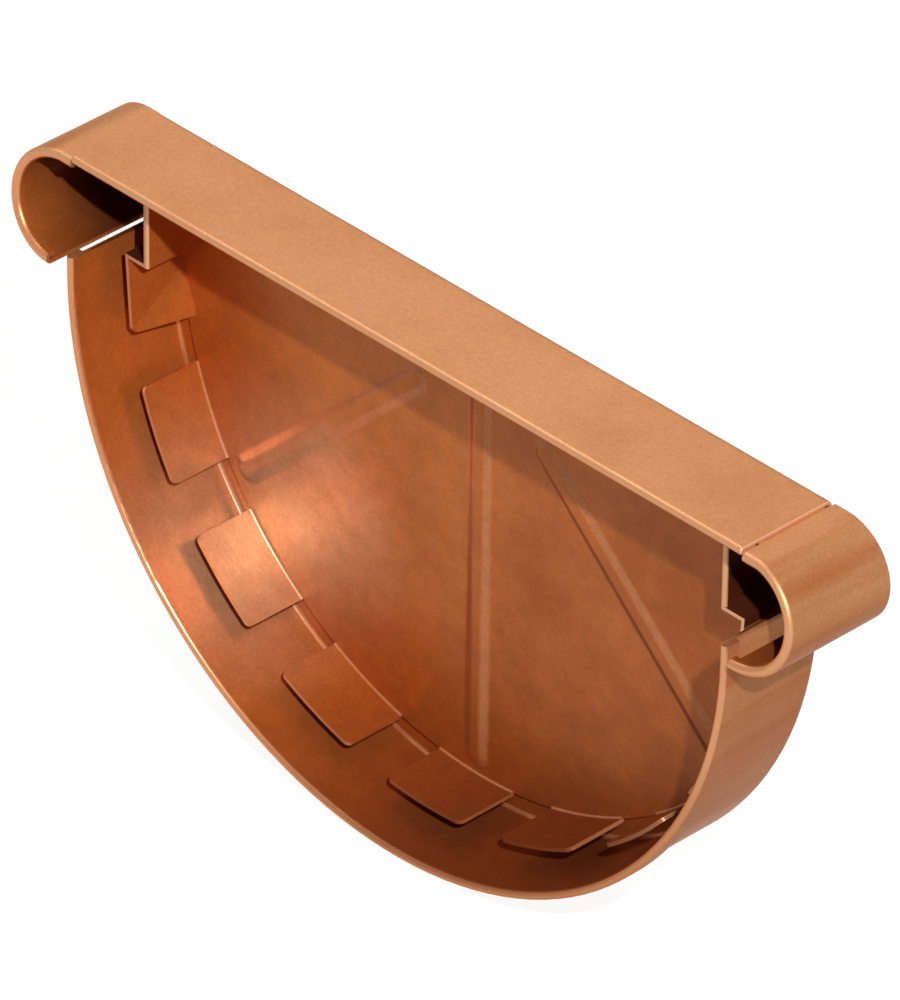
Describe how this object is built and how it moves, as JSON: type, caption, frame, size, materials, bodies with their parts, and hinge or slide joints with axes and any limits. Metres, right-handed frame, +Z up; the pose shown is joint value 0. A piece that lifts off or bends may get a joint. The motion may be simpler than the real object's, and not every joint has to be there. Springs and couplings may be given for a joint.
{
  "type": "gutter end cap",
  "caption": "Copper end cap for a half-round gutter: ribbed plate with bent tabs inside a half-round rim, a flat top strip and a rolled bead sleeve at each end.",
  "frame": {"origin": "on the axis of the half-round gutter, in the plane of the cap's front edges", "axes": "+Z up, +X along the top strip, +Y from the open front to the closed back"},
  "size_m": [0.1866, 0.0253, 0.101],
  "materials": {
    "rolled_copper": "satin"
  },
  "bodies": {
    "root": {"outer_shell": "rolled_copper", "inner_plate": "rolled_copper", "bead_sleeve_left": "rolled_copper", "bead_sleeve_right": "rolled_copper"}
  },
  "joints": []
}
